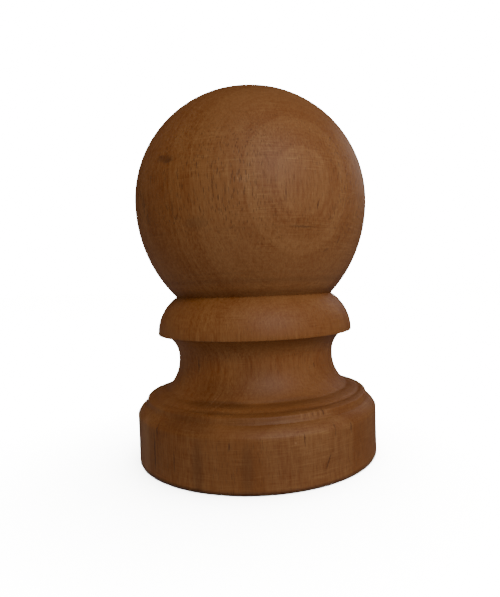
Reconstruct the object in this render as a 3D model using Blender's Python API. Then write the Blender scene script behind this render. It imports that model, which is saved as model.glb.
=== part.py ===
# Ball post cap, turned on a lathe from one block of hardwood.
# Metres, +Z up. The origin is the middle of the flat underside.

import math

import bmesh
import bpy

MM = 0.001

# Base: a drum that sits on the post
BASE_RADIUS = 45.0 * MM
FOOT_EASE = 0.8 * MM
BASE_SIDE = 16.6 * MM

# Shoulder: the drum rounds over to the foot of a low step
SHOULDER_REACH = 3.0 * MM
SHOULDER_RISE = 3.3 * MM
SHOULDER_BOW = 0.33 * MM
STEP_REACH = 0.55 * MM
STEP_RISE = 1.7 * MM
STEP_HOLLOW = 0.08 * MM
STEP_EDGE_REACH = 0.6 * MM
STEP_EDGE_RISE = 0.62 * MM
STEP_EDGE_BOW = 0.15 * MM

# Sloping top of the step: a narrow fillet, a shallow groove and a low bead
FILLET_REACH = 1.2 * MM
FILLET_RISE = 0.42 * MM
GROOVE_REACH = 1.6 * MM
GROOVE_RISE = 0.55 * MM
GROOVE_HOLLOW = 0.22 * MM
BEAD_REACH = 3.35 * MM
BEAD_RISE = 1.11 * MM
BEAD_BOW = 0.15 * MM
ROOT_REACH = 0.93 * MM
ROOT_RISE = 0.74 * MM
ROOT_HOLLOW = 0.12 * MM

# Cove and neck: a deep hollow that ends upright at the waist
COVE_REACH = 4.44 * MM
COVE_RISE = 10.51 * MM
NECK_STRAIGHT = 1.0 * MM
FLARE_REACH = 3.95 * MM
FLARE_RISE = 7.65 * MM

# Collar: a domed ring that overhangs the neck
UNDERSIDE_REACH = 3.0 * MM
UNDERSIDE_RISE = 0.6 * MM
COLLAR_EASE = 0.4 * MM
DOME_REACH = 7.1 * MM
DOME_RISE = 13.5 * MM

# Ball: longer below its widest ring, with a crown that is slightly flat
BALL_SWELL = 13.6 * MM
BALL_LOWER = 34.5 * MM
BALL_UPPER = 42.4 * MM
CROWN_RADIUS = 20.0 * MM
CROWN_FLAT = 0.9 * MM

# Facets
ROUND_STEPS = 64
ARC_STEP = math.radians(14)
BALL_STEP = math.radians(8)
SHARP_ANGLE = math.radians(35)
WELD = 0.01 * MM

WOOD_COLOUR = "8A5A38"
WOOD_ROUGHNESS = 0.6


def clear_scene():
    for item in list(bpy.data.objects):
        bpy.data.objects.remove(item, do_unlink=True)


def linear(hex_colour):
    # sRGB hex to the linear colour that a material needs
    channels = [int(hex_colour[i:i + 2], 16) / 255 for i in (0, 2, 4)]
    light = [c / 12.92 if c <= 0.04045 else ((c + 0.055) / 1.055) ** 2.4 for c in channels]
    return (*light, 1.0)


def steps_for(angle, step):
    return max(2, math.ceil(abs(angle) / step))


def move(point, out, up):
    return (point[0] + out, point[1] + up)


def round_to(path, out, up, bow):
    # A circular arc from the end of the path; bow is how far it bulges to the right
    start = path[-1]
    end = move(start, out, up)
    chord = math.hypot(out, up)
    radius = (chord ** 2 / 4 + bow ** 2) / (2 * bow)
    side = (up / chord, -out / chord)
    reach = radius - bow
    centre_out = (start[0] + end[0]) / 2 - side[0] * reach
    centre_up = (start[1] + end[1]) / 2 - side[1] * reach
    half = math.asin(min(1.0, chord / (2 * abs(radius))))
    middle = math.atan2(side[1], side[0])
    count = steps_for(2 * half, ARC_STEP)
    size = abs(radius)
    facing = 1 if radius > 0 else -1
    for i in range(1, count):
        angle = middle + facing * half * (2 * i / count - 1)
        spoke = facing * size
        path.append((centre_out + spoke * math.cos(angle), centre_up + spoke * math.sin(angle)))
    path.append(end)


def bow_from_upright(out, up):
    # The bulge of an arc that starts or ends upright
    chord = math.hypot(out, up)
    radius = chord ** 2 / (2 * abs(out))
    return radius - math.sqrt(radius ** 2 - chord ** 2 / 4)


def line_to(path, out, up):
    path.append(move(path[-1], out, up))


def base_outline(path):
    quarter_bow = FOOT_EASE * (1 - math.sqrt(0.5))
    line_to(path, BASE_RADIUS - FOOT_EASE, 0)
    round_to(path, FOOT_EASE, FOOT_EASE, quarter_bow)
    line_to(path, 0, BASE_SIDE)
    round_to(path, -SHOULDER_REACH, SHOULDER_RISE, SHOULDER_BOW)
    round_to(path, -STEP_REACH, STEP_RISE, -STEP_HOLLOW)
    round_to(path, -STEP_EDGE_REACH, STEP_EDGE_RISE, STEP_EDGE_BOW)


def bead_outline(path):
    line_to(path, -FILLET_REACH, FILLET_RISE)
    round_to(path, -GROOVE_REACH, GROOVE_RISE, -GROOVE_HOLLOW)
    round_to(path, -BEAD_REACH, BEAD_RISE, BEAD_BOW)
    round_to(path, -ROOT_REACH, ROOT_RISE, -ROOT_HOLLOW)


def neck_outline(path):
    round_to(path, -COVE_REACH, COVE_RISE, -bow_from_upright(COVE_REACH, COVE_RISE))
    line_to(path, 0, NECK_STRAIGHT)
    round_to(path, FLARE_REACH, FLARE_RISE, -bow_from_upright(FLARE_REACH, FLARE_RISE))


def collar_outline(path):
    quarter_bow = COLLAR_EASE * (1 - math.sqrt(0.5))
    line_to(path, UNDERSIDE_REACH, UNDERSIDE_RISE)
    round_to(path, COLLAR_EASE, COLLAR_EASE, quarter_bow)
    round_to(path, -DOME_REACH, DOME_RISE, bow_from_upright(DOME_REACH, DOME_RISE))


def ball_outline(path):
    crease_radius, crease_height = path[-1]
    ball_radius = crease_radius + BALL_SWELL
    middle_height = crease_height + BALL_LOWER
    crease_angle = math.acos(crease_radius / ball_radius)
    lower_axis = BALL_LOWER / math.sin(crease_angle)
    count = steps_for(crease_angle, BALL_STEP)
    for i in range(1, count + 1):
        angle = crease_angle * (i / count - 1)
        path.append((ball_radius * math.cos(angle), middle_height + lower_axis * math.sin(angle)))
    count = steps_for(math.pi / 2, BALL_STEP)
    for i in range(1, count + 1):
        angle = math.pi / 2 * i / count
        out = ball_radius * math.cos(angle) if i < count else 0.0
        sink = CROWN_FLAT * max(0.0, 1 - (out / CROWN_RADIUS) ** 2) ** 2
        path.append((out, middle_height + BALL_UPPER * math.sin(angle) - sink))


def cap_outline():
    # Half of the cap's section, from the middle of the underside to the top of the ball
    path = [(0.0, 0.0)]
    base_outline(path)
    bead_outline(path)
    neck_outline(path)
    collar_outline(path)
    ball_outline(path)
    return path


def wood_material():
    material = bpy.data.materials.new("red hardwood")
    material.use_nodes = True
    shader = material.node_tree.nodes["Principled BSDF"]
    shader.inputs["Base Color"].default_value = linear(WOOD_COLOUR)
    shader.inputs["Roughness"].default_value = WOOD_ROUGHNESS
    shader.inputs["Metallic"].default_value = 0.0
    return material


def turned_cap():
    build = bmesh.new()
    points = [build.verts.new((out, 0.0, up)) for out, up in cap_outline()]
    edges = [build.edges.new(pair) for pair in zip(points, points[1:])]
    bmesh.ops.spin(build, geom=points + edges, axis=(0, 0, 1), cent=(0, 0, 0),
                   angle=math.tau, steps=ROUND_STEPS, use_merge=True)
    bmesh.ops.remove_doubles(build, verts=build.verts, dist=WELD)
    bmesh.ops.recalc_face_normals(build, faces=build.faces)
    mesh = bpy.data.meshes.new("turned_cap")
    build.to_mesh(mesh)
    build.free()
    mesh.shade_smooth()
    mesh.set_sharp_from_angle(angle=SHARP_ANGLE)
    mesh.materials.append(wood_material())
    cap = bpy.data.objects.new("turned_cap", mesh)
    bpy.context.collection.objects.link(cap)
    return cap


clear_scene()
turned_cap()
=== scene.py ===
# Ball post cap, turned from one block of red hardwood, on a pale floor in soft studio light.
import math

import bpy
from mathutils import Matrix, Vector


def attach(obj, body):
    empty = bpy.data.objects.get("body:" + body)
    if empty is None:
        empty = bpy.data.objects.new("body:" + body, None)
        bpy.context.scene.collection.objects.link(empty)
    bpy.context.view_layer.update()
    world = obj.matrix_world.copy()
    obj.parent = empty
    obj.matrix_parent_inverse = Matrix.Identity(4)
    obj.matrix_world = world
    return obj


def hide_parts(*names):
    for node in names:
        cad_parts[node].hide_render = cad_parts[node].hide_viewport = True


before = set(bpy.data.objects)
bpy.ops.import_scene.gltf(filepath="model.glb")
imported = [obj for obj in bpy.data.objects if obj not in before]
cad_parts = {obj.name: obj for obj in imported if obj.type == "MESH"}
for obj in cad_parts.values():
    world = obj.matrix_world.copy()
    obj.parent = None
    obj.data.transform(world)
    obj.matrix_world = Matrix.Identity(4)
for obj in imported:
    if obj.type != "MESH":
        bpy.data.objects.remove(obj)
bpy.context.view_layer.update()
mm = 0.001
print("frame loaded")


def toLinear(hexColour, alpha=1.0):  # sRGB hex to linear
    parts = [int(hexColour[i:i + 2], 16) / 255 for i in (0, 2, 4)]
    return (*[p / 12.92 if p <= 0.04045 else ((p + 0.055) / 1.055) ** 2.4 for p in parts], alpha)


def addNode(tree, kind, inputs=(), output=0, **settings):
    # Adds one node and gives one of its outputs: an input takes a value, or another output as a link
    node = tree.nodes.new("ShaderNode" + kind)
    for name, value in settings.items():
        setattr(node, name, value)
    for name, value in inputs.items() if isinstance(inputs, dict) else enumerate(inputs):
        if isinstance(value, bpy.types.NodeSocket):
            tree.links.new(value, node.inputs[name])
        else:
            node.inputs[name].default_value = value
    return node.outputs[output]


# Camera: a close view from just above the middle, with the frame shifted a little sideways
cameraView = {
    "place": (4.811, -188.565, 64.592),  # mm
    "tiltDown": 2.084,  # degrees
    "roll": 1.829,  # degrees, clockwise
    "focalPixels": 486.67,
    "shiftPixels": -16.566,
    "imageHeight": 597,
    "sensor": 36.0,  # mm
    "nearest": 0.005,  # m
}


def makeCamera(v):
    turn = Matrix.Rotation(math.radians(90 - v["tiltDown"]), 4, "X")
    turn = turn @ Matrix.Rotation(math.radians(-v["roll"]), 4, "Z")
    bpy.ops.object.camera_add(location=Vector(v["place"]) * mm, rotation=turn.to_euler())
    camera = bpy.context.object
    camera.data.sensor_width = v["sensor"]
    camera.data.lens = v["focalPixels"] * v["sensor"] / v["imageHeight"]
    camera.data.shift_x = v["shiftPixels"] / v["imageHeight"]
    camera.data.clip_start = v["nearest"]
    bpy.context.scene.camera = camera
    print("camera made")


makeCamera(cameraView)

# The cap's half section, in mm, from the underside to the top of the ball
cap = {
    "baseRadius": 45.0,
    "footEase": 0.8,
    "baseSide": 16.6,
    # out, up and bulge of each length of the shoulder, from the drum's side to the cove
    "shoulder": (-3.0, 3.3, 0.33),
    "stepWall": (-0.55, 1.7, -0.08),
    "stepEdge": (-0.6, 0.62, 0.15),
    "fillet": (-1.2, 0.42, 0.01),
    "groove": (-1.6, 0.55, -0.22),
    "bead": (-3.35, 1.11, 0.15),
    "coveRoot": (-0.93, 0.74, -0.12),
    "coveReach": 4.44,
    "coveRise": 10.51,
    "neckStraight": 1.0,
    "flareReach": 3.95,
    "flareRise": 7.65,
    "undersideReach": 3.0,
    "undersideRise": 0.6,
    "collarEase": 0.4,
    "domeReach": 7.1,
    "domeRise": 13.5,
    "ballSwell": 13.6,
    "ballLower": 34.5,
    "ballUpper": 42.4,
    "crownRadius": 20.0,
    "crownFlat": 0.9,
    # spacing of the section's points along its long curves, the shoulder, the eased edges and the underside
    "step": 0.9,
    "shoulderStep": 0.3,
    "easeStep": 0.225,
    "undersideStep": 5.4,
    "aroundSteps": 384,
    "sharpAngle": 30.0,  # degrees: sharper edges stay crisp
    "weld": 0.005,
}


def arcTo(path, out, up, bow, step):
    # A circular arc from the end of the path; bow is its bulge to the right
    x0, z0 = path[-1]
    chord = math.hypot(out, up)
    radius = (chord ** 2 / 4 + bow ** 2) / (2 * bow)
    side = (up / chord, -out / chord)
    reach = radius - bow
    centreX = x0 + out / 2 - side[0] * reach
    centreZ = z0 + up / 2 - side[1] * reach
    half = math.asin(min(1.0, chord / (2 * abs(radius))))
    middle = math.atan2(side[1], side[0])
    count = max(3, round(2 * half * abs(radius) / step))
    facing = math.copysign(1, radius)
    for i in range(1, count):
        angle = middle + facing * half * (2 * i / count - 1)
        path.append((centreX + radius * math.cos(angle), centreZ + radius * math.sin(angle)))
    path.append((x0 + out, z0 + up))


def lineTo(path, out, up, step):
    x0, z0 = path[-1]
    count = max(1, round(math.hypot(out, up) / step))
    for i in range(1, count + 1):
        path.append((x0 + out * i / count, z0 + up * i / count))


def uprightBow(out, up):  # bulge of an arc that starts or ends upright
    chord = math.hypot(out, up)
    radius = chord ** 2 / (2 * abs(out))
    return radius - math.sqrt(radius ** 2 - chord ** 2 / 4)


def capSection(c):
    step = c["step"]
    quarter = 1 - math.sqrt(0.5)  # bulge of a quarter circle, as a share of its radius
    path = [(0.0, 0.0)]
    lineTo(path, c["baseRadius"] - c["footEase"], 0, c["undersideStep"])
    arcTo(path, c["footEase"], c["footEase"], c["footEase"] * quarter, c["easeStep"])
    lineTo(path, 0, c["baseSide"], step)
    for name in ("shoulder", "stepWall", "stepEdge", "fillet", "groove", "bead", "coveRoot"):
        arcTo(path, *c[name], c["shoulderStep"])
    arcTo(path, -c["coveReach"], c["coveRise"], -uprightBow(c["coveReach"], c["coveRise"]), step)
    lineTo(path, 0, c["neckStraight"], step)
    arcTo(path, c["flareReach"], c["flareRise"], -uprightBow(c["flareReach"], c["flareRise"]), step)
    lineTo(path, c["undersideReach"], c["undersideRise"], step)
    arcTo(path, c["collarEase"], c["collarEase"], c["collarEase"] * quarter, c["easeStep"])
    arcTo(path, -c["domeReach"], c["domeRise"], uprightBow(c["domeReach"], c["domeRise"]), step)
    creaseRadius, creaseHeight = path[-1]
    ballRadius = creaseRadius + c["ballSwell"]
    middle = creaseHeight + c["ballLower"]
    creaseAngle = math.acos(creaseRadius / ballRadius)
    lowerAxis = c["ballLower"] / math.sin(creaseAngle)
    count = round(creaseAngle * ballRadius / step)
    for i in range(1, count + 1):
        angle = creaseAngle * (i / count - 1)
        path.append((ballRadius * math.cos(angle), middle + lowerAxis * math.sin(angle)))
    count = round(math.pi / 2 * ballRadius / step)
    for i in range(1, count + 1):
        angle = math.pi / 2 * i / count
        out = ballRadius * math.cos(angle) if i < count else 0.0
        sink = c["crownFlat"] * max(0.0, 1 - (out / c["crownRadius"]) ** 2) ** 2
        path.append((out, middle + c["ballUpper"] * math.sin(angle) - sink))
    return path


def turnCap(c):
    section = capSection(c)
    bpy.ops.object.select_all(action="DESELECT")
    bpy.ops.mesh.primitive_plane_add(size=mm, location=(0, 0, 0))
    piece = bpy.context.object
    piece.name = piece.data.name = "turnedCap"
    bpy.ops.object.mode_set(mode="EDIT")
    bpy.ops.mesh.select_all(action="SELECT")
    bpy.ops.mesh.merge(type="CENTER")
    for (x0, z0), (x1, z1) in zip(section, section[1:]):
        move = ((x1 - x0) * mm, 0, (z1 - z0) * mm)
        bpy.ops.mesh.extrude_region_move(TRANSFORM_OT_translate={"value": move})
    bpy.ops.mesh.select_all(action="SELECT")
    bpy.ops.mesh.spin(steps=c["aroundSteps"], angle=math.tau, center=(0, 0, 0), axis=(0, 0, 1))
    bpy.ops.mesh.select_all(action="SELECT")
    bpy.ops.mesh.remove_doubles(threshold=c["weld"] * mm)
    bpy.ops.mesh.normals_make_consistent(inside=False)
    bpy.ops.object.mode_set(mode="OBJECT")
    bpy.ops.object.shade_smooth_by_angle(angle=math.radians(c["sharpAngle"]))
    # how far along the section each point lies, in mm, for the turning lines
    far = 0.0
    known = {(0.0, 0.0): far}
    for (x0, z0), (x1, z1) in zip(section, section[1:]):
        far += math.hypot(x1 - x0, z1 - z0)
        known[round(x1, 2), round(z1, 2)] = far
    along = piece.data.attributes.new("along", "FLOAT", "POINT")
    for i, point in enumerate(piece.data.vertices):
        key = (round(math.hypot(point.co.x, point.co.y) / mm, 2), round(point.co.z / mm, 2))
        if key not in known:  # rounded to the other side
            key = min(known, key=lambda k: (k[0] - key[0]) ** 2 + (k[1] - key[1]) ** 2)
        along.data[i].value = known[key]
    print("cap turned:", len(section), "points,", len(piece.data.polygons), "faces")
    return piece


turnedCap = turnCap(cap)


# The wood: a red tropical hardwood, turned and finely sanded, left bare.
# To the eye it is matt, with long dark pores and broad growth bands that make ovals on the ball.
wood = {
    "deepTone": "74390A",
    "paleTone": "A07143",
    "warmTone": "7E4408",
    # the dark tone of pores and marks, also used for painted shade and a painted contact shadow
    "poreAndShadeTone": "4A280E",
    # the pale tone of torn grain, scratches and flecks, also used for a painted highlight on the ball and
    # painted light on the drum
    "paleMarkAndHighlightColour": "B98A60",
    "ringFacing": 23.5,  # degrees to the right of the front: the way the growth rings face
    "ringTilt": 2.0,  # degrees
    "ringCentre": 100.0,  # mm from the turning axis to the middle of the tree
    "ringWander": 0.7,  # mm that the rings stray from a true circle
    # growth bands as mm along the rings' direction, and how light each is beside the mean of 1
    "bands": [(-50, 1.0), (-46, 0.95), (-42.5, 1.03), (-38, 0.98), (-35.5, 0.9), (-33, 1.05), (-28, 0.97),
              (-24, 1.04), (-21, 0.94), (-16, 1.03), (-12.5, 0.97), (-10, 0.92), (-7.5, 1.02), (-3, 0.91),
              (3, 1.05), (8.5, 0.95), (13, 1.06), (18, 0.96), (21.8, 1.03), (25.8, 0.9), (29, 1.06),
              (33, 1.02), (37, 0.99), (40.4, 0.93), (41.5, 1.06), (43, 1.02), (44.8, 0.91), (45.5, 1.08),
              (46.8, 1.01), (50, 1.0)],
    "contrast": 1.3,
    # mm between fine growth lines, and how strong they are
    "ringLines": [(1.3, 0.22), (0.45, 0.16)],
    # grain as mm across it, mm along it and how strong it is
    "grain": [(14.0, 26.0, 0.4), (0.9, 24.0, 0.5), (0.36, 3.6, 0.85)],
    # pores as mm wide, mm apart, mm apart along the grain and how dark
    # the widest are coarser than real, so that they show
    "pores": [(0.28, 0.5, 3.6, 0.6), (0.34, 1.1, 7.0, 0.75)],
    "flecks": (0.3, 0.7, 3.0, 0.24),  # pale pores where the rings lie level with the surface
    "poreDepth": 0.05,  # mm
    "fibreDepth": 0.03,  # mm
    # turning and sanding lines as mm long, mm apart, degrees that they lean and how strong they are
    "sanding": [(9.0, 0.34, 0.0, 0.6), (6.0, 0.3, 3.0, 0.4), (7.0, 0.4, -4.0, 0.3)],
    "scratches": (0.66, 0.76, 0.0, 0.22),  # the sanding noise above which a pale scratch shows, and how pale
    "lineDepth": 0.03,  # mm
    # where something grows or fades, from one value to another, and its share at each of the two
    "lively": (36.0, 14.0, 1.0, 3.0),  # mm along the rings: more figure towards the left
    "warmShare": (38.0, 14.0, 0.0, 0.6),  # mm along the rings: a warmer tone towards the left
    "warmBase": (60.0, 48.0, 0.0, 0.35),  # mm high: a warmer tone below the ball
    "warmBaseLeft": (44.0, 40.0, 0.0, 1.0),  # mm along the rings: only where they don't lie level
    "sandedPatches": (0.45, 0.62, 0.15, 0.8),  # of a noise with patches of about 16 mm
    "sandedBase": (30.0, 22.0, 0.0, 0.8),  # mm high: below this the sanding shows all over
    "poreSlope": (0.15, 0.7, 1.0, 0.25),  # tilt of the surface: pores cut across hardly show
    "poreCrowds": (0.38, 0.62, 0.45, 1.0),  # of a noise with patches of about 7 mm
    "poreFront": (22.0, 32.0, 0.0, 0.8),  # mm along the rings: more pores at the front
    "poreHeight": (72.0, 88.0, 0.4, 1.0),  # mm high: more pores on the upper ball
    "poreLevel": (41.0, 45.0, 1.0, 0.55),  # mm along the rings: fewer where the rings lie level
    "fleckLevel": (36.0, 42.0, 0.25, 1.0),  # mm along the rings: there the pale flecks show
    "roughness": 0.55,
    "gloss": 0.3,
}

# Dark rings round the cap: height in mm, half width, strength. A painted contact shadow at the foot, painted
# shade over the drum, in the step's grooves and on the underside of the ball above the crease, a plain
# darker band round the shoulder and a line left by the tool
darkRingsAndShade = [
    (0.0, 1.5, 0.95), (9.0, 14.0, 0.2), (27.0, 9.0, 0.1), (21.2, 0.9, 0.07), (23.6, 0.45, 0.05),
    (25.2, 1.2, 0.05), (60.6, 1.7, 0.3), (64.8, 1.2, 0.16), (67.3, 0.5, 0.08), (80.8, 0.4, 0.08),
]

# Dark marks: a knot, strokes, streaks and torn grain in the wood, then broad patches of painted shade on the
# shoulder, in its grooves and at the foot of the cove. Each is x, y, z in mm, half width, half height, lean
# in degrees, strength
darkMarksAndShade = [
    (-25.9, -32.8, 104.2, 5.0, 1.5, 8, 0.45),
    (-24.8, -33.9, 103.4, 2.6, 1.0, 0, 0.6),
    (-27.6, -31.4, 105.2, 1.7, 0.8, 0, 0.55),
    (21.7, -36.9, 87.8, 0.3, 2.0, 12, 0.7),
    (27.0, -29.5, 110.0, 0.9, 0.4, -30, 0.5),
    (-16.0, -38.5, 83.0, 5.0, 2.4, 0, 0.24),
    (-37.0, -17.5, 77.6, 0.6, 3.2, -20, 0.6),
    (16.5, -38.2, 81.0, 5.0, 0.4, 2, 0.4),
    (28.9, -28.1, 77.2, 0.4, 1.6, 20, 0.45),
    (24.8, -30.5, 74.0, 1.6, 0.6, -25, 0.3),
    (-31.5, -28.9, 98.5, 0.5, 2.4, 0, 0.4),
    (-29.8, -30.5, 99.0, 0.4, 3.0, 0, 0.35),
    (-35.3, -24.6, 92.0, 0.6, 5.0, 0, 0.35),
    (-33.8, -26.4, 87.0, 0.5, 4.0, 0, 0.35),
    (-25.9, -34.2, 97.0, 0.35, 1.8, 0, 0.35),
    (-23.8, -35.7, 88.0, 0.5, 3.5, 0, 0.35),
    (-10.3, -41.8, 94.0, 0.35, 4.5, 0, 0.35),
    (-6.5, -42.7, 92.0, 0.3, 3.0, 0, 0.35),
    (11.6, -41.3, 90.1, 0.3, 2.5, 0, 0.4),
    (8.8, -42.2, 95.1, 0.3, 1.6, 0, 0.35),
    (-18.0, -41.2, 7.0, 2.6, 13.0, 0, 0.26),
    (-2.6, -44.9, 8.0, 2.4, 10.0, 0, 0.22),
    (-33.6, -29.9, 9.0, 0.5, 9.0, 0, 0.5),
    (-32.3, -31.3, 17.1, 0.5, 2.6, 0, 0.6),
    (-26.1, -36.7, 8.3, 0.35, 4.0, 2, 0.4),
    (-7.9, -44.3, 15.2, 0.45, 1.5, 0, 0.55),
    (15.1, -42.4, 15.9, 0.3, 2.4, 0, 0.6),
    (22.6, -38.9, 7.9, 0.3, 3.0, 25, 0.55),
    (24.8, -36.8, 17.0, 0.3, 2.6, 0, 0.45),
    (30.8, -32.8, 16.5, 0.35, 2.0, 0, 0.5),
    (-19.1, -22.2, 36.4, 0.5, 3.0, 0, 0.55),
    (-1.0, -29.3, 36.7, 0.3, 1.8, 0, 0.35),
    (20.5, -21.2, 35.0, 0.35, 1.2, 0, 0.5),
    (21.5, -35.3, 22.4, 0.35, 1.2, 0, 0.6),
    (19.8, -36.3, 22.4, 0.25, 1.1, 0, 0.3),
    (18.0, -37.2, 22.4, 0.25, 1.1, 0, 0.3),
    (15.6, -38.2, 22.4, 0.3, 1.1, 0, 0.3),
    # painted shade from here on: the front of the shoulder and step, lines in the grooves and the valley
    # above them, and the foot of the cove
    (-22.0, -37.0, 22.0, 15.0, 8.0, 0, 0.3),
    (-13.8, -37.8, 23.6, 17.0, 0.6, 0, 0.3),
    (13.8, -37.8, 23.6, 17.0, 0.6, 0, 0.2),
    (-11.8, -32.5, 25.2, 15.0, 1.4, 0, 0.38),
    (11.8, -32.5, 25.2, 15.0, 1.4, 0, 0.22),
    (-13.0, -29.0, 29.0, 12.0, 6.0, 0, 0.2),
    (2.0, -41.0, 22.5, 15.0, 7.0, 0, 0.16),
    (0.0, -30.8, 32.0, 13.0, 10.0, 0, 0.16),
    (-16.0, -31.5, 25.0, 7.5, 2.2, 0, 0.3),
]

# Pale marks in the same terms: torn grain on the step, fine scratches, a speck, a painted highlight with
# pale flecks on the ball, and painted light up the drum's left edge
paleMarksAndHighlights = [
    (22.6, -34.6, 22.4, 0.25, 1.0, 0, 0.2),
    (20.6, -35.8, 22.4, 0.3, 1.0, 0, 0.35),
    (18.9, -36.7, 22.4, 0.25, 1.0, 0, 0.25),
    (16.9, -37.7, 22.4, 0.3, 1.0, 0, 0.22),
    (14.3, -38.8, 22.4, 0.3, 1.0, 0, 0.25),
    (12.3, -43.3, 15.4, 0.35, 0.35, 0, 0.45),
    (-13.4, -32.0, 26.5, 0.16, 4.5, 38, 0.45),
    (-11.4, -34.3, 25.5, 0.16, 3.0, 52, 0.4),
    # a painted highlight on the ball, with pale flecks in it
    (-1.1, -43.1, 94.8, 2.2, 1.2, 0, 0.16),
    (-2.6, -43.0, 95.4, 0.22, 0.7, 0, 0.4),
    (0.4, -43.1, 95.8, 0.22, 0.8, 0, 0.4),
    # painted light: a lit strip up the drum's left edge, where a side light falls
    (-37.8, -24.0, 9.0, 4.5, 14.0, 0, 0.3),
]


smooth = {"interpolation_type": "SMOOTHSTEP"}
sized = {"vector_type": "TEXTURE"}  # a Mapping whose scale is the pattern's size
coloured = {"data_type": "RGBA", "output": 2}
markDepth = 4.0  # mm that a mark reaches into the wood
markEdge = (0.35, 1.15)  # share of its size from which a mark fades, and where it ends
poreEdge = (0.6, 1.25)
ringEdge = 1.3


def streaks(tree, place, across, along, detail=3.0, lean=0.0, output="Fac"):
    # Noise drawn out along or across the grain, in mm
    drawn = addNode(tree, "Mapping", {"Vector": place, "Scale": (across, across, along),
                                      "Rotation": (0, math.radians(lean), 0)}, **sized)
    return addNode(tree, "TexNoise", {"Vector": drawn, "Scale": 1.0, "Detail": detail, "Roughness": 0.6},
                   output=output)


def growthLines(tree, ring, spacing):
    # Fine lines that follow the growth rings, in mm
    far = addNode(tree, "Math", (ring, 1 / spacing), operation="MULTIPLY")
    return addNode(tree, "TexNoise", {"W": far, "Scale": 1.0, "Detail": 2.0, "Roughness": 0.6},
                   noise_dimensions="1D")


def growthBands(tree, ring, bands):
    # A smooth ramp through the growth bands; each grey is half the tone
    low, high = bands[0][0], bands[-1][0]
    share = addNode(tree, "MapRange", (ring, low, high))
    ramp = addNode(tree, "ValToRGB", (share,)).node
    ramp.color_ramp.interpolation = "EASE"
    points = ramp.color_ramp.elements
    while len(points) > 1:
        points.remove(points[0])
    for i, (far, tone) in enumerate(bands):
        point = points[0] if i == 0 else points.new((far - low) / (high - low))
        point.position = (far - low) / (high - low)
        point.color = (tone / 2, tone / 2, tone / 2, 1)
    return ramp.outputs[0]


def vessels(tree, place, size, shift=0):
    # Long cells in the wood, dark or pale along their middle
    wide, spacing, long, strength = size
    cells = addNode(tree, "Mapping", {"Vector": place, "Location": (shift,) * 3,
                                      "Scale": (spacing, spacing, long)}, **sized)
    away = addNode(tree, "TexVoronoi", {"Vector": cells, "Scale": 1.0, "Randomness": 1.0}, output="Distance")
    start, end = [wide / spacing / 2 * edge for edge in poreEdge]
    return addNode(tree, "MapRange", (away, start, end, strength, 0.0), **smooth)


def addMarks(tree, place, marks, total):
    # Each mark is a soft upright ellipse on the surface; the strongest at a point wins
    for x, y, z, wide, tall, lean, strength in marks:
        turn = (0, math.radians(lean), math.atan2(x, -y))
        near = addNode(tree, "Mapping", {"Vector": place, "Location": (x, y, z), "Rotation": turn,
                                         "Scale": (wide, markDepth, tall)}, **sized)
        away = addNode(tree, "VectorMath", (near,), operation="LENGTH", output="Value")
        shade = addNode(tree, "MapRange", (away, *markEdge, strength, 0.0), **smooth)
        total = addNode(tree, "Math", (total, shade), operation="MAXIMUM")
    return total


def addRings(tree, height, rings, total):
    for z, half, strength in rings:
        above = addNode(tree, "Math", (height, z), operation="SUBTRACT")
        away = addNode(tree, "Math", (above,), operation="ABSOLUTE")
        shade = addNode(tree, "MapRange", (away, 0.0, ringEdge * half, strength, 0.0), **smooth)
        total = addNode(tree, "Math", (total, shade), operation="ADD")
    return total


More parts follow.
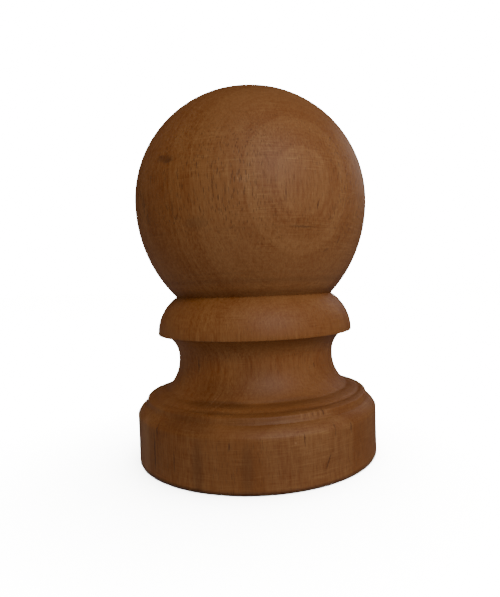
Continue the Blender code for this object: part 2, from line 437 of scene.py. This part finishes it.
def hardwood(w, rings, darkMarks, lightMarks):
    material = bpy.data.materials.new("bare red hardwood")
    material.use_nodes = True
    tree = material.node_tree
    shader = tree.nodes["Principled BSDF"]
    place = addNode(tree, "TexCoord", output="Object")
    inMm = addNode(tree, "VectorMath", (place, (1 / mm,) * 3), operation="MULTIPLY")
    x, y, height = addNode(tree, "SeparateXYZ", (inMm,)).node.outputs
    # X is the way the growth rings face and Z runs along the grain
    facing = (0, 0, math.radians(90 - w["ringFacing"]))
    turned = addNode(tree, "Mapping", {"Vector": inMm, "Rotation": facing})
    grain = addNode(tree, "Mapping", {"Vector": turned, "Rotation": (0, math.radians(w["ringTilt"]), 0)})
    # the rings wander slowly across the grain and hardly at all along it
    wander = streaks(tree, grain, 24.0, 90.0, 2.0, output="Color")
    centred = addNode(tree, "VectorMath", (wander, (-0.5,) * 3), operation="ADD")
    reach = (2 * w["ringWander"],) * 3
    strayed = addNode(tree, "VectorMath", (centred, reach, grain), operation="MULTIPLY_ADD")
    outward, beside = addNode(tree, "SeparateXYZ", (strayed,)).node.outputs[:2]
    squared = addNode(tree, "Math", (beside, beside), operation="MULTIPLY")
    ring = addNode(tree, "Math", (squared, -0.5 / w["ringCentre"], outward), operation="MULTIPLY_ADD")
    # fine growth lines, fibres and slow patches, all stronger in the left of the cap
    layers = [(growthLines(tree, ring, spacing), strength) for spacing, strength in w["ringLines"]]
    layers += [(streaks(tree, grain, wide, long), strength) for wide, long, strength in w["grain"]]
    figure = 0.0
    for layer, strength in layers:
        centred = addNode(tree, "Math", (layer, strength, -strength / 2), operation="MULTIPLY_ADD")
        figure = addNode(tree, "Math", (figure, centred), operation="ADD")
    lively = addNode(tree, "MapRange", (ring, *w["lively"]), **smooth)
    bands = growthBands(tree, ring, w["bands"])
    tone = addNode(tree, "Math", (bands, 2 * w["contrast"], 0.5 - w["contrast"]), operation="MULTIPLY_ADD")
    tone = addNode(tree, "Math", (figure, lively, tone), operation="MULTIPLY_ADD")
    # turning and sanding lines run round the cap, along its own outline, in patches
    along = addNode(tree, "Attribute", output="Fac", attribute_name="along")
    around = addNode(tree, "CombineXYZ", (x, y, along))
    lines = 0.0
    scratches = 0.0
    for long, spacing, lean, strength in w["sanding"]:
        line = streaks(tree, around, long, spacing, 1.0, lean)
        centred = addNode(tree, "Math", (line, strength, -strength / 2), operation="MULTIPLY_ADD")
        lines = addNode(tree, "Math", (lines, centred), operation="ADD")
        scratches = addNode(tree, "Math", (scratches, line), operation="MAXIMUM")
    patches = streaks(tree, inMm, 16.0, 9.0, 1.0)
    patches = addNode(tree, "MapRange", (patches, *w["sandedPatches"]), **smooth)
    base = addNode(tree, "MapRange", (height, *w["sandedBase"]), **smooth)
    sanded = addNode(tree, "Math", (patches, base), operation="MAXIMUM")
    tone = addNode(tree, "Math", (lines, sanded, tone), operation="MULTIPLY_ADD")
    scratched = addNode(tree, "MapRange", (scratches, *w["scratches"]), **smooth)
    tone = addNode(tree, "Math", (scratched, sanded, tone), operation="MULTIPLY_ADD")
    deep, pale = toLinear(w["deepTone"]), toLinear(w["paleTone"])
    colour = addNode(tree, "Mix", {0: tone, 6: deep, 7: pale}, **coloured)
    warm = addNode(tree, "MapRange", (ring, *w["warmShare"]), **smooth)
    low = addNode(tree, "MapRange", (height, *w["warmBase"]), **smooth)
    left = addNode(tree, "MapRange", (ring, *w["warmBaseLeft"]), **smooth)
    low = addNode(tree, "Math", (low, left), operation="MULTIPLY")
    warm = addNode(tree, "Math", (warm, low), operation="MAXIMUM")
    colour = addNode(tree, "Mix", {0: warm, 6: colour, 7: toLinear(w["warmTone"])}, **coloured)
    # long vessels: cut along they are dark strokes, cut across they are dots that hardly show
    slope = addNode(tree, "SeparateXYZ", (addNode(tree, "TexCoord", output="Normal"),), output=2)
    slope = addNode(tree, "Math", (slope,), operation="ABSOLUTE")
    shown = addNode(tree, "MapRange", (slope, *w["poreSlope"]), **smooth)
    for value, name in ((height, "poreHeight"), (ring, "poreLevel")):
        share = addNode(tree, "MapRange", (value, *w[name]), **smooth)
        shown = addNode(tree, "Math", (shown, share), operation="MULTIPLY")
    crowded = addNode(tree, "MapRange", (streaks(tree, grain, 7.0, 18.0, 2.0), *w["poreCrowds"]), **smooth)
    front = addNode(tree, "MapRange", (ring, *w["poreFront"]), **smooth)
    crowded = addNode(tree, "Math", (crowded, front), operation="MAXIMUM")
    pores = 0.0
    for size in w["pores"]:
        pores = addNode(tree, "Math", (pores, vessels(tree, strayed, size)), operation="MAXIMUM")
    pores = addNode(tree, "Math", (pores, crowded), operation="MULTIPLY")
    pores = addNode(tree, "Math", (pores, shown), operation="MULTIPLY")
    level = addNode(tree, "MapRange", (ring, *w["fleckLevel"]), **smooth)
    flecks = vessels(tree, strayed, w["flecks"], shift=50)
    flecks = addNode(tree, "Math", (flecks, level), operation="MULTIPLY")
    flecks = addNode(tree, "Math", (flecks, shown), operation="MULTIPLY")
    # marks in their own places, with frayed edges
    frayed = streaks(tree, inMm, 0.7, 1.6, 2.0, output="Color")
    frayed = addNode(tree, "VectorMath", (frayed, (1.2,) * 3, (-0.6,) * 3), operation="MULTIPLY_ADD")
    markAt = addNode(tree, "VectorMath", (inMm, frayed), operation="ADD")
    # dark: pores, dark marks and dark rings, among them painted shade and a painted contact shadow
    dark = addRings(tree, height, rings, addMarks(tree, markAt, darkMarks, pores))
    # light: pale flecks and pale marks, among them a painted highlight and painted light
    light = addMarks(tree, markAt, lightMarks, flecks)
    colour = addNode(tree, "Mix", {0: light, 6: colour, 7: toLinear(w["paleMarkAndHighlightColour"])}, **coloured)
    colour = addNode(tree, "Mix", {0: dark, 6: colour, 7: toLinear(w["poreAndShadeTone"])}, **coloured)
    tree.links.new(colour, shader.inputs["Base Color"])
    # relief: lines, pores and fibres
    relief = addNode(tree, "Math", (lines, w["lineDepth"]), operation="MULTIPLY")
    fibres = layers[-2][0]
    for layer, depth in ((pores, -w["poreDepth"]), (fibres, w["fibreDepth"])):
        relief = addNode(tree, "Math", (layer, depth, relief), operation="MULTIPLY_ADD")
    bump = addNode(tree, "Bump", {"Height": relief, "Distance": mm, "Strength": 1.0})
    tree.links.new(bump, shader.inputs["Normal"])
    shader.inputs["Roughness"].default_value = w["roughness"]
    shader.inputs["Specular IOR Level"].default_value = w["gloss"]
    print("wood made")
    return material


turnedCap.data.materials.clear()
turnedCap.data.materials.append(hardwood(wood, darkRingsAndShade, darkMarksAndShade, paleMarksAndHighlights))
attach(turnedCap, "root")
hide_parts("turned_cap")

# The stage: a pale floor with a light of its own, so that it is white beside the dark wood
stage = {
    "floorColour": "F4F4F2",
    "floorRoughness": 0.9,
    "floorSize": 8.0,  # m
    "floorLight": 60.0,
    "floorLightSpread": 70.0,  # degrees
    "floorLightTurn": (-8, 8, 0),  # degrees
    "lightDistance": 0.9,  # m
    "lightSize": 0.45,  # m
    "aim": (0, 0, 0.08),
    # how far round to the right of the front and how high each soft light stands, in degrees, its watts,
    # and whether it shows in the wood's faint gloss: the photo's sides are matt
    "lights": {"key": (25, 29, 4.2, True), "high": (0, 55, 0.4, True), "side": (92, 28, 0.55, False),
               "low": (75, 5, 0.6, False), "rim": (135, 22, 0.65, True), "left": (-92, 10, 1.1, False),
               "backLeft": (-125, 42, 0.7, False), "back": (180, 12, 1.8, False)},
    "horizon": 0.02,  # how softly the lower sky meets the upper
    "skyAbove": 0.14,
    "skyBelow": 0.44,
    "mirroredSky": 0.35,  # share of the sky that shows in the wood's faint gloss
    "backdrop": 17.5,
}


def setStage(s):
    bpy.ops.object.select_all(action="DESELECT")
    bpy.ops.mesh.primitive_plane_add(size=s["floorSize"], location=(0, 0, 0))
    floor = bpy.context.object
    floor.name = "floor"
    floor.data.materials.append(plainMaterial("pale floor", s["floorColour"], s["floorRoughness"]))
    floor.visible_diffuse = False
    floor.visible_glossy = False
    floorOnly = bpy.data.collections.new("floor only")
    floorOnly.objects.link(floor)
    turn = [math.radians(angle) for angle in s["floorLightTurn"]]
    bpy.ops.object.light_add(type="SUN", location=(0.2, -0.2, 1.0), rotation=turn)
    floorLamp = bpy.context.object
    floorLamp.name = "floor light"
    floorLamp.data.energy = s["floorLight"]
    floorLamp.data.angle = math.radians(s["floorLightSpread"])
    floorLamp.light_linking.receiver_collection = floorOnly
    for name, (right, up, watts, mirrored) in s["lights"].items():
        a, e = math.radians(right), math.radians(up)
        out = Vector((math.sin(a) * math.cos(e), -math.cos(a) * math.cos(e), math.sin(e)))
        bpy.ops.object.light_add(type="AREA", location=Vector(s["aim"]) + out * s["lightDistance"],
                                 rotation=out.to_track_quat("Z", "Y").to_euler())
        lamp = bpy.context.object
        lamp.name = name + " light"
        lamp.data.shape = "DISK"
        lamp.data.size = s["lightSize"]
        lamp.data.energy = watts
        lamp.visible_glossy = mirrored
    world = bpy.data.worlds.new("studio")
    bpy.context.scene.world = world
    world.use_nodes = True
    tree = world.node_tree
    background = tree.nodes["Background"]
    background.inputs["Color"].default_value = (1, 1, 1, 1)
    way = addNode(tree, "TexCoord", output="Generated")
    upward = addNode(tree, "SeparateXYZ", (way,), output=2)
    sky = addNode(tree, "MapRange", (upward, -s["horizon"], s["horizon"], s["skyBelow"], s["skyAbove"]))
    faint = addNode(tree, "Math", (sky, s["mirroredSky"]), operation="MULTIPLY")
    ray = addNode(tree, "LightPath").node.outputs
    lit = addNode(tree, "Mix", {0: ray["Is Glossy Ray"], 2: sky, 3: faint})
    strength = addNode(tree, "Mix", {0: ray["Is Camera Ray"], 2: lit, 3: s["backdrop"]})
    tree.links.new(strength, background.inputs["Strength"])
    print("stage and lights set")


def plainMaterial(name, hexColour, roughness):
    material = bpy.data.materials.new(name)
    material.use_nodes = True
    shader = material.node_tree.nodes["Principled BSDF"]
    shader.inputs["Base Color"].default_value = toLinear(hexColour)
    shader.inputs["Roughness"].default_value = roughness
    return material


setStage(stage)
